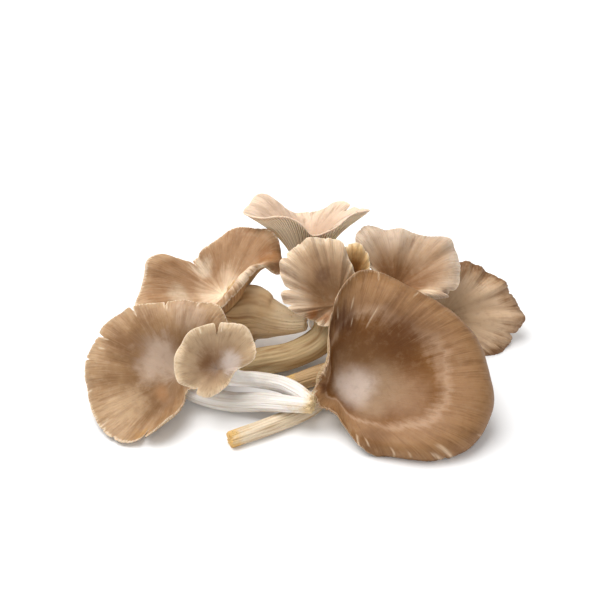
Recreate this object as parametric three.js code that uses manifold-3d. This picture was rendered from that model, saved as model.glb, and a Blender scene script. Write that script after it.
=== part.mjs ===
// A heap of oyster mushrooms: nine caps on pale stems, picked and laid so that they prop each other up.
// Millimetres, +Z up, the front of the heap towards -Y, origin under the middle of the heap.
// A mushroom grows as one body, so its cap, gills and stem are one mesh; two grew from one foot.

import * as THREE from 'three';
import Module from 'manifold-3d';

const wasm = await Module();
wasm.setup();

// Middle of the heap's footprint in the frame that the places below are measured in
const HEAP_MIDDLE = { x: 5.2, y: 6.5 };

// Flesh and gills
const GILL_DEPTH = 1.1; // how far a gill stands out of the underside
const GILL_FADE_IN = 6; // the gills reach full depth in a sixth of the way in from the rim
const GILL_FADE_OUT = 5; // and run out in the last fifth, on the neck
const THICKEN_POWER = 1.4; // how the flesh thickens from the rim to the middle
const NECK_SHARE = 0.4; // inner part of the underside that sweeps down into the stem
const NECK_BLEND = 14; // length of stem over which its section turns from the neck's to its own

// Shape of a cap's upper face, from its middle out to its rim
const PROFILE_STEPS = 60;
const SLOPE_MARGIN = 1.5; // steps each way that a column's slope is measured over
const CUP_POWER = 1.6; // a cap rises slowly near its middle, unless it says otherwise
const CREST_POWER = 1.45; // puts the crest of the belly at about six tenths of the reach
const ROLL_FROM = 0.76; // share of the reach past which the rim rolls down
const ARC_SHARE = 0.65; // columns are spread mostly by the rim's length, and otherwise by angle
const ANGLE_SAMPLES = 1440;

// Shape of a stem
const STEM_STEPS = 80;
const LUMP_TWO = 0.05; // slow two-sided and three-sided swellings along a stem
const LUMP_THREE = 0.035;
const LUMP_TWO_LENGTH = 9;
const LUMP_THREE_LENGTH = 7;
const LUMP_THREE_TURN = 1;
const END_INSET = 0.7; // the cut end's inner ring
const END_BULGE = 0.8;
const TIP_BULGE = 1;

// Rows of facets: shares of the reach above and below, and steps along the stem
const TOP_ROWS = [0.16, 0.38, 0.6, 0.77, 0.89, 1];
const UNDER_ROWS = [1, 0.88, 0.7, 0.46, 0.22, 0];
const STEM_ROWS = [10, 26, 44, 62, 80];

// Each mushroom has: columns, an even count round its cap; at, the middle of its cap; faces, the
// azimuth and the height above the horizon that it looks to;
// rim, rows of [angle, reach, rise, belly, roll], angles in degrees round the cap and lengths in mm;
// crest, cup and rollFrom, where they differ from the usual shape above;
// waves, [count, height, phase] round the rim; skin, flesh, flare and neck, in mm; and stem, points
// [x, y, z, half width, half height] from under the cap to the cut end.
const LARGE = {
  columns: 64,
  at: [17.8, -25.7, 17.5],
  faces: [-84, 48],
  rim: [
    [0, 84, 11, 16, 55],
    [20, 79, 12, 15.5, 55],
    [40, 69, 14, 14, 52],
    [62, 61.5, 17, 11, 44],
    [78, 53.5, 20, 6, 30],
    [91, 41, 23, 0, 0],
    [102, 29, 24, -3, -10],
    [114, 15, 19, -3, -10],
    [150, 8.5, 11, 0, 0],
    [187, 10, 8, 1, 30],
    [232, 13, 7, 1, 30],
    [262, 13.5, 8, 0, 10],
    [278, 20.5, 11, 1, 15],
    [290, 33.5, 13, 5, 35],
    [306, 49.5, 13, 11, 52],
    [322, 67.5, 12, 14, 58],
    [338, 83, 11, 16, 58],
    [350, 86, 10, 16, 56],
  ],
  waves: [[7, 0.8, 20], [12, 0.5, 100]],
  crest: 1.9,
  rollFrom: 0.66,
  cup: 2.2,
  skin: 1.5,
  flesh: 3.4,
  flare: 3.6,
  neck: 6.5,
  stem: [
    [11, -20.5, 5.4, 4.6, 4.4],
    [3, -28, 3.9, 4.4, 4.1],
    [-14, -39, 3.8, 4.4, 4],
    [-32.5, -48.6, 3.5, 3.8, 3.7],
  ],
};

const LEFT = {
  columns: 60,
  at: [-58.9, -16.2, 15.2],
  faces: [-96, 48],
  rim: [
    [10, 17, 5, 0, 0],
    [28, 27, 7, 2, 10],
    [46, 36, 8, 5, 25],
    [61, 40.5, 8, 6, 30],
    [76, 38, 8, 6, 30],
    [97, 37, 8, 6, 30],
    [120, 39.5, 8, 6, 30],
    [144, 45, 8, 6, 30],
    [157, 43.5, 8, 6, 30],
    [178, 46, 8, 6, 30],
    [202, 44, 9, 5, 20],
    [233, 41, 13, 0, -10],
    [247, 34.5, 16, -3, -20],
    [264, 25.5, 16, -4, -20],
    [282, 16, 10, -2, -10],
    [300, 9.5, 4, 0, 0],
    [340, 11, 4, 0, 0],
  ],
  waves: [[6, 0.8, 0], [11, 0.6, 50]],
  skin: 1.4,
  flesh: 3.6,
  flare: 4,
  neck: 5.5,
  stem: [
    [-50, -18.5, 6.4, 5.4, 5],
    [-35, -23, 4.8, 5.2, 4.8],
    [-19, -27, 8, 4.8, 4.2],
    [-6, -33.4, 12.4, 4.3, 3.6],
    [5.4, -37, 14.2, 3.6, 3.2],
  ],
};

const YOUNG = {
  columns: 40,
  at: [-39.6, -22.4, 24.8],
  faces: [-92, 42],
  rim: [
    [0, 10.5, 7, 0, 10],
    [14, 18.6, 12, 0, 30],
    [37, 22, 13, 0, 35],
    [53, 23.6, 13, 0, 35],
    [77, 21.5, 13, 0, 40],
    [101, 20.5, 13, 0, 40],
    [123, 20, 13, 0, 40],
    [146, 19.2, 12.5, 0, 40],
    [165, 18.8, 12, 0, 40],
    [200, 17.6, 11, 0, 40],
    [218, 14.4, 9, 0, 40],
    [235, 14.6, 10, 0, 60],
    [255, 13.4, 9, 0, 60],
    [274, 11, 8, 0, 50],
    [307, 9, 6, 0, 10],
    [340, 8, 5, 0, 0],
  ],
  waves: [[5, 0.6, 0], [9, 0.4, 50]],
  cup: 0.85,
  skin: 1.2,
  flesh: 2.4,
  flare: 3,
  neck: 3.6,
  stem: [
    [-31, -19.5, 17, 3.8, 3.8],
    [-22, -16.5, 13, 3.9, 3.8],
    [-9, -19, 12, 4, 3.8],
    [-0.5, -26.5, 13, 4, 3.8],
    [5.6, -35, 14.6, 3.4, 3.2],
  ],
};

const CENTRE = {
  columns: 48,
  at: [18.2, 15.4, 34],
  faces: [-90, 46],
  rim: [
    [0, 9.5, 4, 0, 0],
    [40, 12.5, 6, 0, 0],
    [74, 21.5, 8, 1, 10],
    [88, 31, 9, 3, 30],
    [106, 33.5, 9, 3, 30],
    [127, 35.5, 9, 3, 30],
    [149, 33, 9, 3, 30],
    [163, 26.5, 7, 2, 20],
    [174, 27.2, 9, 2, 30],
    [190, 22.5, 8, 2, 20],
    [206, 16, 3, 1, 20],
    [236, 12.5, 3, 0, 10],
    [270, 9, 3, 0, 0],
    [320, 9, 3, 0, 0],
  ],
  waves: [[9, 1.3, 0], [17, 0.8, 50]],
  skin: 1.3,
  flesh: 3,
  flare: 4,
  neck: 6,
  stem: [
    [16, 19, 24, 6.4, 6.4],
    [11, 12, 15, 7, 7],
    [-3, 6.5, 9.5, 7, 7],
    [-18, 4, 7.6, 7, 6.8],
    [-32, 1.5, 6.4, 6, 6],
  ],
};

const FOLDED = {
  columns: 60,
  at: [-38.4, 27.8, 31],
  faces: [-92, 74],
  rim: [
    [6, 19.5, 27, 0, 120],
    [14, 34, 9, 13, 60],
    [25, 36.5, 12, 9, 60],
    [37, 34.5, 19, 3, 40],
    [49, 33.5, 19.5, 2, 25],
    [60, 32.5, 19, 3, 20],
    [80, 30, 17.5, 3, 20],
    [107, 21.5, 13.5, 2, 20],
    [122, 21, 11, 0, 10],
    [137, 20.5, 9.5, 0, 10],
    [150, 25, 13.5, 0, 10],
    [160, 31.5, 20, 1, 20],
    [168, 36, 20, 1, 20],
    [181, 37.5, 17, 1, 20],
    [203, 44, 14, 1, 30],
    [224, 38.5, 12.5, 0, 30],
    [249, 24, 12.5, 0, 30],
    [272, 17, 18, 0, 80],
    [297, 14, 25, 0, 130],
    [328, 12.5, 28, 0, 140],
    [352, 15, 29, 0, 140],
  ],
  waves: [[6, 0.8, 0], [11, 0.6, 50]],
  cup: 1.2,
  rollFrom: 0.78,
  skin: 1.6,
  flesh: 4,
  flare: 5,
  neck: 7,
  stem: [
    [-31, 24.5, 21.6, 8, 10.5],
    [-24.5, 23, 22.6, 7.3, 17],
    [-20, 22, 22.2, 6.8, 16.2],
    [-15, 20.5, 21.2, 6.3, 12.4],
    [-4, 18, 20.6, 5, 7],
    [2.5, 17.4, 21.5, 4.4, 4.6],
  ],
};

const FUNNEL = {
  columns: 48,
  at: [4, 45, 34.2],
  faces: [90, 58],
  rim: [
    [2, 24.5, 30, 0, -10],
    [20, 20.5, 33.5, 0, 10],
    [45, 17, 32.5, 0, 10],
    [90, 16, 27.5, 0, 0],
    [135, 18, 31.5, 0, 10],
    [165, 24, 38.5, 0, 20],
    [183, 28.5, 34.5, 0, 20],
    [197, 33, 31, 0, 20],
    [210, 29, 28.5, 0, 20],
    [235, 24, 28, 0, 20],
    [260, 19.5, 25, 0, 20],
    [275, 15.5, 19.5, 0, 20],
    [295, 15, 18.5, 0, 20],
    [314, 19.5, 22, 0, 0],
    [324, 25.5, 28, 0, 0],
    [346, 31, 31, 0, 10],
  ],
  waves: [[5, 0.5, 0], [9, 0.5, 50]],
  cup: 0.55,
  skin: 1.3,
  flesh: 3,
  flare: 3,
  neck: 6.2,
  stem: [
    [5, 42, 22, 6.2, 6.2],
    [8.5, 41, 10, 6, 6],
    [10, 41, 0.8, 5.2, 5.2],
  ],
};

const BACK_RIGHT = {
  columns: 52,
  at: [47.4, 28.9, 34],
  faces: [-80, 58],
  rim: [
    [8, 33.5, 9, 5, 35],
    [29, 36, 9, 5, 30],
    [45, 35.5, 9, 5, 30],
    [59, 32, 9, 5, 30],
    [78, 30, 9, 5, 30],
    [96, 30, 9, 5, 30],
    [121, 33, 9, 4, 30],
    [136, 28.5, 9, 3, 20],
    [153, 12, 7, 1, 10],
    [190, 9, 5, 0, 0],
    [240, 9, 4, 0, 0],
    [300, 12, 5, 2, 30],
    [324, 21, 10, 9, 115],
    [339, 31, 12, 10, 140],
    [347, 26, 9, 5, 70],
    [355, 29.5, 9, 4, 35],
  ],
  waves: [[7, 0.9, 0], [13, 0.6, 50]],
  skin: 1.4,
  flesh: 3.2,
  flare: 4,
  neck: 5.5,
  stem: [
    [43, 32, 24, 5.4, 5.4],
    [37, 34, 12, 5.8, 5.8],
    [35, 34, 0.8, 5.4, 5.4],
  ],
};

const FAR_RIGHT = {
  columns: 48,
  at: [71.3, 29.9, 14],
  faces: [-72, 42],
  rim: [
    [8, 43.5, 6, 5, 25],
    [28, 38.5, 6, 5, 25],
    [50, 34, 6, 4, 25],
    [80, 30, 6, 4, 25],
    [110, 24, 6, 3, 20],
    [150, 18, 6, 2, 20],
    [190, 12, 5, 0, 10],
    [230, 10, 5, 0, 10],
    [270, 14, 6, 1, 10],
    [300, 24, 6, 3, 20],
    [327, 34, 6, 4, 25],
    [340, 40, 6, 5, 25],
    [354, 43, 6, 5, 25],
  ],
  waves: [[9, 1.2, 0], [16, 0.7, 50]],
  skin: 1.4,
  flesh: 3.2,
  flare: 3.5,
  neck: 5,
  stem: [
    [62, 26, 7, 4.8, 4.8],
    [45, 12, 4.8, 4.8, 4.8],
    [25, 3, 4.6, 4.8, 4.6],
    [8, -4, 4.6, 4.6, 4.6],
    [-6, -10, 4.2, 4, 4],
  ],
};

const SMALL = {
  columns: 32,
  at: [26.2, 29, 39.2],
  faces: [-80, 38],
  rim: [
    [20, 7, 5, 0, 0],
    [50, 11.5, 6, 1, 10],
    [83, 17.5, 6, 2, 20],
    [105, 17, 6, 2, 20],
    [130, 12, 6, 1, 10],
    [160, 7.5, 4, 0, 0],
    [200, 5, 3, 0, 0],
    [280, 5, 3, 0, 0],
    [340, 5.5, 3, 0, 0],
  ],
  waves: [[5, 0.5, 0], [9, 0.4, 50]],
  skin: 1.1,
  flesh: 2,
  flare: 2.5,
  neck: 3.4,
  stem: [
    [26, 31.5, 29, 3.4, 3.4],
    [24, 32, 15, 3.8, 3.8],
    [23, 31, 0.8, 3.4, 3.4],
  ],
};

const COLOURS = {
  brown: 0x96704f,
  tan: 0xb99470,
  pale: 0xc4a27f,
  pink: 0xd0ab8c,
  rust: 0xa9753f,
};

// Axes of a cap: z looks the way that the cap faces, and x is the heap's x laid square to it.
function capAxes([azimuth, height]) {
  const turn = THREE.MathUtils.degToRad(azimuth);
  const lift = THREE.MathUtils.degToRad(height);
  const level = Math.cos(lift);
  const z = new THREE.Vector3(Math.cos(turn) * level, Math.sin(turn) * level, Math.sin(lift));
  const x = new THREE.Vector3(1, 0, 0).addScaledVector(z, -z.x).normalize();
  const y = new THREE.Vector3().crossVectors(z, x);
  return { x, y, z };
}

// Cubic piece from one value to the next, with the change per piece at both ends.
function cubic(from, slopeFrom, to, slopeTo, t) {
  const s = 1 - t;
  return from * (1 + 2 * t) * s * s + slopeFrom * t * s * s
    + to * t * t * (3 - 2 * t) + slopeTo * t * t * (t - 1);
}

// Change of that piece per unit of t.
function cubicSlope(from, slopeFrom, to, slopeTo, t) {
  const s = 1 - t;
  return 6 * t * s * (to - from) + slopeFrom * s * (1 - 3 * t) + slopeTo * t * (3 * t - 2);
}

// One column of the rim's rows at any angle: a closed smooth curve through the rows.
function rimValue(rim, column, angle) {
  const count = rim.length;
  const start = rim[0][0];
  const turned = start + THREE.MathUtils.euclideanModulo(angle - start, 360);
  let row = count - 1;
  while (rim[row][0] > turned) {
    row -= 1;
  }
  const knot = (index) => {
    const source = rim[THREE.MathUtils.euclideanModulo(index, count)];
    return { angle: source[0] + 360 * Math.floor(index / count), value: source[column] };
  };
  const [before, here, next, after] = [row - 1, row, row + 1, row + 2].map(knot);
  const width = next.angle - here.angle;
  const slopeHere = ((next.value - before.value) / (next.angle - before.angle)) * width;
  const slopeNext = ((after.value - here.value) / (after.angle - here.angle)) * width;
  return cubic(here.value, slopeHere, next.value, slopeNext, (turned - here.angle) / width);
}

// Angle of each column round the cap, evened out along the rim and, less, round the middle.
function columnAngles(mushroom, count) {
  const shares = [0];
  let length = 0;
  let last = null;
  const lengths = [];
  for (let sample = 0; sample <= ANGLE_SAMPLES; sample += 1) {
    const angle = (360 * sample) / ANGLE_SAMPLES;
    const reach = rimValue(mushroom.rim, 1, angle);
    const turn = THREE.MathUtils.degToRad(angle);
    const point = new THREE.Vector2(reach * Math.cos(turn), reach * Math.sin(turn));
    length += last ? point.distanceTo(last) : 0;
    lengths.push(length);
    last = point;
  }
  for (let sample = 1; sample <= ANGLE_SAMPLES; sample += 1) {
    shares.push((ARC_SHARE * lengths[sample]) / length + ((1 - ARC_SHARE) * sample) / ANGLE_SAMPLES);
  }
  const angles = [];
  let sample = 0;
  for (let column = 0; column < count; column += 1) {
    const share = column / count;
    while (shares[sample + 1] <= share) {
      sample += 1;
    }
    const part = (share - shares[sample]) / (shares[sample + 1] - shares[sample]);
    angles.push((360 * (sample + part)) / ANGLE_SAMPLES);
  }
  return angles;
}

// Distance out and up along one column of a cap's upper face. The rim's roll turns each short step down.
function capProfile(mushroom, angle, share) {
  const [reach, rise, belly, roll] = [1, 2, 3, 4].map((column) => rimValue(mushroom.rim, column, angle));
  const power = mushroom.cup ?? CUP_POWER;
  const crest = mushroom.crest ?? CREST_POWER;
  const rollFrom = mushroom.rollFrom ?? ROLL_FROM;
  let ruffle = 0;
  for (const [count, height, phase] of mushroom.waves) {
    ruffle += height * Math.cos(2 * Math.PI * count * share + THREE.MathUtils.degToRad(phase));
  }
  const height = (s) => rise * s ** power + belly * Math.sin(Math.PI * s ** crest) + ruffle * s ** 3;
  const points = [new THREE.Vector2(0, 0)];
  for (let step = 1; step <= PROFILE_STEPS; step += 1) {
    const from = (step - 1) / PROFILE_STEPS;
    const to = step / PROFILE_STEPS;
    const past = ((from + to) / 2 - rollFrom) / (1 - rollFrom);
    const turn = THREE.MathUtils.degToRad(roll) * THREE.MathUtils.smoothstep(past, 0, 1);
    const piece = new THREE.Vector2(reach / PROFILE_STEPS, height(to) - height(from));
    points.push(piece.rotateAround(new THREE.Vector2(0, 0), -turn).add(points[step - 1]));
  }
  return points;
}

// Point of a column's profile at a share of its length, between its steps.
function alongProfile(profile, share) {
  const place = THREE.MathUtils.clamp(share, 0, 1) * PROFILE_STEPS;
  const step = Math.min(Math.floor(place), PROFILE_STEPS - 1);
  return profile[step].clone().lerp(profile[step + 1], place - step);
}

// Point of the underside: the upper face moved in by the flesh's thickness, with gills and a flared neck.
function underPoint(mushroom, profile, reach, share, gill) {
  const out = mushroom.neck + (reach - mushroom.neck) * share;
  const above = Math.min(out / reach, 1);
  const margin = SLOPE_MARGIN / PROFILE_STEPS;
  const slope = alongProfile(profile, above + margin).sub(alongProfile(profile, above - margin)).normalize();
  const fade = Math.min(1, (1 - share) * GILL_FADE_IN) * Math.min(1, share * GILL_FADE_OUT);
  const thickness = mushroom.skin + mushroom.flesh * (1 - share) ** THICKEN_POWER + GILL_DEPTH * gill * fade;
  const sink = THREE.MathUtils.clamp((NECK_SHARE - share) / NECK_SHARE, 0, 1);
  const point = alongProfile(profile, above);
  point.x += Math.max(out - reach, 0) + thickness * slope.y;
  point.y -= thickness * slope.x + mushroom.flare * (1 - Math.sqrt(1 - sink * sink));
  return point;
}

// Centre line of a stem: smooth pieces through its points, with its half width and half height.
function stemLine(mushroom, start, heading) {
  const points = [[...start.toArray(), mushroom.neck, mushroom.neck], ...mushroom.stem];
  const distances = [0];
  for (let index = 1; index < points.length; index += 1) {
    const [ax, ay, az] = points[index - 1];
    const [bx, by, bz] = points[index];
    distances.push(distances[index - 1] + Math.hypot(bx - ax, by - ay, bz - az));
  }
  const last = points.length - 1;
  const slopeAt = (index, axis) => {
    if (index === 0) {
      return axis < 3 ? heading.getComponent(axis) : 0;
    }
    const from = index - 1;
    const to = Math.min(index + 1, last);
    return (points[to][axis] - points[from][axis]) / (distances[to] - distances[from]);
  };
  const line = [];
  let piece = 0;
  for (let step = 0; step <= STEM_STEPS; step += 1) {
    const distance = (distances[last] * step) / STEM_STEPS;
    while (piece < last - 1 && distances[piece + 1] <= distance) {
      piece += 1;
    }
    const length = distances[piece + 1] - distances[piece];
    const t = (distance - distances[piece]) / length;
    const ends = (axis) => [
      points[piece][axis],
      slopeAt(piece, axis) * length,
      points[piece + 1][axis],
      slopeAt(piece + 1, axis) * length,
    ];
    const centre = new THREE.Vector3(...[0, 1, 2].map((axis) => cubic(...ends(axis), t)));
    const tangent = new THREE.Vector3(...[0, 1, 2].map((axis) => cubicSlope(...ends(axis), t))).normalize();
    line.push({ distance, centre, tangent, width: cubic(...ends(3), t), height: cubic(...ends(4), t) });
  }
  return line;
}

// Frames along the line: the side direction of the cap is carried down the stem without twisting.
function carryFrames(line, side) {
  let carried = side.clone();
  for (const place of line) {
    carried = carried.addScaledVector(place.tangent, -carried.dot(place.tangent)).normalize();
    place.side = carried.clone();
    place.other = new THREE.Vector3().crossVectors(carried, place.tangent);
  }
}

// Point of a stem's skin at an angle round it: an ellipse as wide and high as the stem, with slow lumps.
function stemPoint(place, angle) {
  const turn = THREE.MathUtils.degToRad(angle);
  const way = place.side.clone().multiplyScalar(Math.cos(turn)).addScaledVector(place.other, Math.sin(turn));
  const level = new THREE.Vector3().crossVectors(place.tangent, new THREE.Vector3(0, 0, 1)).normalize();
  const upright = new THREE.Vector3().crossVectors(level, place.tangent);
  const radius = 1 / Math.hypot(way.dot(level) / place.width, way.dot(upright) / place.height);
  const lumps = 1 + LUMP_TWO * Math.cos(2 * turn + place.distance / LUMP_TWO_LENGTH)
    + LUMP_THREE * Math.cos(3 * turn - place.distance / LUMP_THREE_LENGTH + LUMP_THREE_TURN);
  return place.centre.clone().addScaledVector(way, radius * lumps);
}

// All rows of points of one mushroom, from the middle of its cap over the rim and down to the cut end.
function mushroomRows(mushroom) {
  const { columns } = mushroom;
  const { x, y, z } = capAxes(mushroom.faces);
  const at = new THREE.Vector3(...mushroom.at);
  const angles = columnAngles(mushroom, columns);
  const profiles = angles.map((angle, column) => capProfile(mushroom, angle, column / columns));
  const reaches = angles.map((angle) => rimValue(mushroom.rim, 1, angle));
  const place = (angle, point) => {
    const turn = THREE.MathUtils.degToRad(angle);
    return at.clone()
      .addScaledVector(x, Math.cos(turn) * point.x)
      .addScaledVector(y, Math.sin(turn) * point.x)
      .addScaledVector(z, point.y);
  };
  const gillOf = (column) => (column % 2 === 0 ? 0.5 : -0.5);
  const cap = TOP_ROWS.map((share) => angles.map(
    (angle, column) => place(angle, alongProfile(profiles[column], share)),
  ));
  const under = UNDER_ROWS.map((share) => angles.map(
    (angle, column) => place(
      angle,
      underPoint(mushroom, profiles[column], reaches[column], share, gillOf(column)),
    ),
  ));

  const depth = mushroom.skin + mushroom.flesh + mushroom.flare;
  const heading = z.clone().negate();
  const line = stemLine(mushroom, at.clone().addScaledVector(heading, depth), heading);
  carryFrames(line, x);
  const neckRing = under[under.length - 1].filter((point, column) => column % 2 === 0);
  const ringAt = (step) => neckRing.map((point, index) => {
    const share = step / STEM_STEPS;
    const angle = angles[2 * index] * (1 - share) + (360 * share * 2 * index) / columns;
    return stemPoint(line[step], angle);
  });
  const firstRing = ringAt(0);
  const stem = STEM_ROWS.map((step) => {
    const blend = 1 - THREE.MathUtils.smoothstep(line[step].distance, 0, NECK_BLEND);
    return ringAt(step).map((point, index) => {
      const gap = neckRing[index].clone().sub(firstRing[index]);
      return point.addScaledVector(gap, blend);
    });
  });

  const end = line[STEM_STEPS];
  const lastRing = stem[stem.length - 1];
  const middle = new THREE.Vector3();
  for (const point of lastRing) {
    middle.addScaledVector(point, 1 / lastRing.length);
  }
  stem.push(lastRing.map(
    (point) => middle.clone().lerp(point, END_INSET).addScaledVector(end.tangent, END_BULGE),
  ));
  const tip = middle.addScaledVector(end.tangent, TIP_BULGE);
  return { at, cap, under, stem, tip };
}

// Closed mesh through the rows. The columns halve from the gills to the stem, which needs fewer.
function closedSurface({ at, cap, under, stem, tip }) {
  const points = [at];
  const rows = [...cap, ...under, ...stem].map((row) => {
    const first = points.length;
    points.push(...row);
    return { first, count: row.length };
  });
  points.push(tip);
  const triangles = [];
  const index = (row, column) => rows[row].first + (column % rows[row].count);

  for (let column = 0; column < rows[0].count; column += 1) {
    triangles.push([0, index(0, column), index(0, column + 1)]);
  }
  for (let row = 0; row + 1 < rows.length; row += 1) {
    const halves = rows[row + 1].count < rows[row].count;
    const above = row < cap.length - 1;
    for (let column = 0; column < rows[row + 1].count; column += 1) {
      const [c, d] = [index(row + 1, column), index(row + 1, column + 1)];
      if (halves) {
        const [a, middle, b] = [0, 1, 2].map((offset) => index(row, 2 * column + offset));
        triangles.push([a, c, middle], [middle, c, d], [middle, d, b]);
        continue;
      }
      const [a, b] = [index(row, column), index(row, column + 1)];
      if (above) {
        triangles.push([a, c, d], [a, d, b]);
      } else {
        triangles.push([a, c, b], [b, c, d]);
      }
    }
  }
  const lastRow = rows.length - 1;
  for (let column = 0; column < rows[lastRow].count; column += 1) {
    triangles.push([points.length - 1, index(lastRow, column + 1), index(lastRow, column)]);
  }

  const positions = points.flatMap((point) => [point.x, point.y, Math.max(point.z, 0)]);
  const geometry = new THREE.BufferGeometry();
  geometry.setAttribute('position', new THREE.Float32BufferAttribute(positions, 3));
  geometry.setIndex(triangles.flat());
  return geometry;
}

function mushroomGeometry(mushroom) {
  return closedSurface(mushroomRows(mushroom));
}

// Two mushrooms that grew from one foot, joined where their stems meet.
function grownTogether(first, second) {
  const solids = [first, second].map((geometry) => new wasm.Manifold(new wasm.Mesh({
    numProp: 3,
    vertProperties: geometry.getAttribute('position').array,
    triVerts: new Uint32Array(geometry.getIndex().array),
  })));
  const joined = solids[0].add(solids[1]).getMesh();
  const geometry = new THREE.BufferGeometry();
  geometry.setAttribute('position', new THREE.BufferAttribute(joined.vertProperties, 3));
  geometry.setIndex(new THREE.BufferAttribute(joined.triVerts, 1));
  return geometry;
}

function piece(name, geometry, colour) {
  geometry.computeVertexNormals();
  const material = new THREE.MeshStandardMaterial({ color: colour, roughness: 0.75, metalness: 0 });
  const mesh = new THREE.Mesh(geometry, material);
  mesh.name = name;
  return mesh;
}

const heap = new THREE.Group();
heap.add(
  piece('large_mushroom', mushroomGeometry(LARGE), COLOURS.brown),
  piece('twin_mushrooms', grownTogether(mushroomGeometry(LEFT), mushroomGeometry(YOUNG)), COLOURS.tan),
  piece('folded_mushroom', mushroomGeometry(FOLDED), COLOURS.pale),
  piece('funnel_mushroom', mushroomGeometry(FUNNEL), COLOURS.pink),
  piece('centre_mushroom', mushroomGeometry(CENTRE), COLOURS.pale),
  piece('back_right_mushroom', mushroomGeometry(BACK_RIGHT), COLOURS.tan),
  piece('far_right_mushroom', mushroomGeometry(FAR_RIGHT), COLOURS.tan),
  piece('small_mushroom', mushroomGeometry(SMALL), COLOURS.rust),
);
heap.position.set(-HEAP_MIDDLE.x, -HEAP_MIDDLE.y, 0);

export default heap;
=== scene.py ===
"""A heap of oyster mushrooms on a plain pale floor, seen from the front and above.

The shape rows are in millimetres, in the frame that the heap was measured in. The meshes are in metres.
"""

import bpy
import numpy as np
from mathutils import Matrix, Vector


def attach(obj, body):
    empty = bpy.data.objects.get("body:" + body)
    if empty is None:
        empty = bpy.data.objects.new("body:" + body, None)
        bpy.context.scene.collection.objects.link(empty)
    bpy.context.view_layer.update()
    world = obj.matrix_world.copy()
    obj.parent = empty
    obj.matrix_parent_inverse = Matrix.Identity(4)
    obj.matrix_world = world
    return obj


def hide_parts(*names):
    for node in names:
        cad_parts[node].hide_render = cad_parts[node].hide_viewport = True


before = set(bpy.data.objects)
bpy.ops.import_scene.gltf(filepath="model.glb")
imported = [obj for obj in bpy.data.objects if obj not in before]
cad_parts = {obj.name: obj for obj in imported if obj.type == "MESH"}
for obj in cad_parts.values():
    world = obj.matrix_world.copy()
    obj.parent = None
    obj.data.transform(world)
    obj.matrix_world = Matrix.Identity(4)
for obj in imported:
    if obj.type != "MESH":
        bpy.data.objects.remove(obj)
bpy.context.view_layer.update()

# Frame of the rows
MILLIMETRE = 0.001
HEAP_MIDDLE = (5.2, 6.5)
HEAP_CENTRE = (0, 0, 0.03)  # in metres, where the lamps look

# Flesh and gills
GILL_DEPTH = 1.1
GILL_FADE_IN = 6
GILL_FADE_OUT = 5
COLUMNS_A_GILL = 4
SHORT_GILL_FROM = 0.45  # every second gill starts this far out
SHORT_GILL_FADE = 0.2
THICKEN_POWER = 1.4
RIM_TAPER = 0.45  # the flesh thins by this much at the very rim
TAPER_SHARE = 0.1
NECK_SHARE = 0.4
NECK_BLEND = 14

# Upper face
PROFILE_STEPS = 60
SLOPE_MARGIN = 1.5  # steps each way that a column's slope is measured over
CUP_POWER = 1.6
CREST_POWER = 1.45
ROLL_FROM = 0.76  # share of the reach where the roll begins
ARC_SHARE = 0.65  # how far the columns are spaced by the rim's length
ANGLE_SAMPLES = 1440
SWELL_COUNTS = (3, 4, 5, 7, 9)
SWELL_DRIFT = 3.2
SWELL_POWER = 1.5
FOLD_COUNTS = np.arange(0, 14, 3)  # added to the shape's own count of folds
FOLD_DRIFT = 3.6
FOLD_FROM, FOLD_FADE = 0.3, 0.6
FURROWS_A_FOLD = 5
FURROW_COUNTS = np.arange(0, 50, 6)
FURROW_DRIFT = 14.4
FURROW_FROM, FURROW_FADE = 0.55, 0.4
FURROW_HEIGHT = 0.35
LEAN_TURN = 45.0  # degrees each way that the rings of colour lean over

# Torn rim and cracked skin
CUT_POWER = 4  # the higher, the closer to the rim a cut stays
DEEPEST_CUT = 0.4
NICK_DEPTHS = (0.15, 1)
NICK_WIDTHS = (0.25, 0.7)
SCAR_FADE = 0.05
SCAR_DEPTH = 0.12
SCAR_WANDER = 9

# Stem
STEM_STEPS = 80
LUMP_TWO = 0.05
LUMP_THREE = 0.035
LUMP_TWO_LENGTH = 9
LUMP_THREE_LENGTH = 7
LUMP_THREE_TURN = 1
FIBRE_HEIGHT = 0.12
FIBRE_COUNTS = (13, 19, 23, 31)
FIBRE_DRIFT = 0.08
FIBRE_SEED = 5
TIP_BULGE = 1
END_INSETS = (0.97, 0.88, 0.7, 0.45, 0.2)
END_ROUGHNESS = 0.25
END_COUNTS = (3, 5, 8, 13)

# Rows of the fine meshes
TOP_ROWS = 56
UNDER_ROWS = 42
STEM_RINGS = 40
HALF_COLUMNS_UNTIL = 8  # steps down the stem, then a quarter of them
RIM_ROUNDING = (30, 60, 90, 120, 150)

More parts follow.
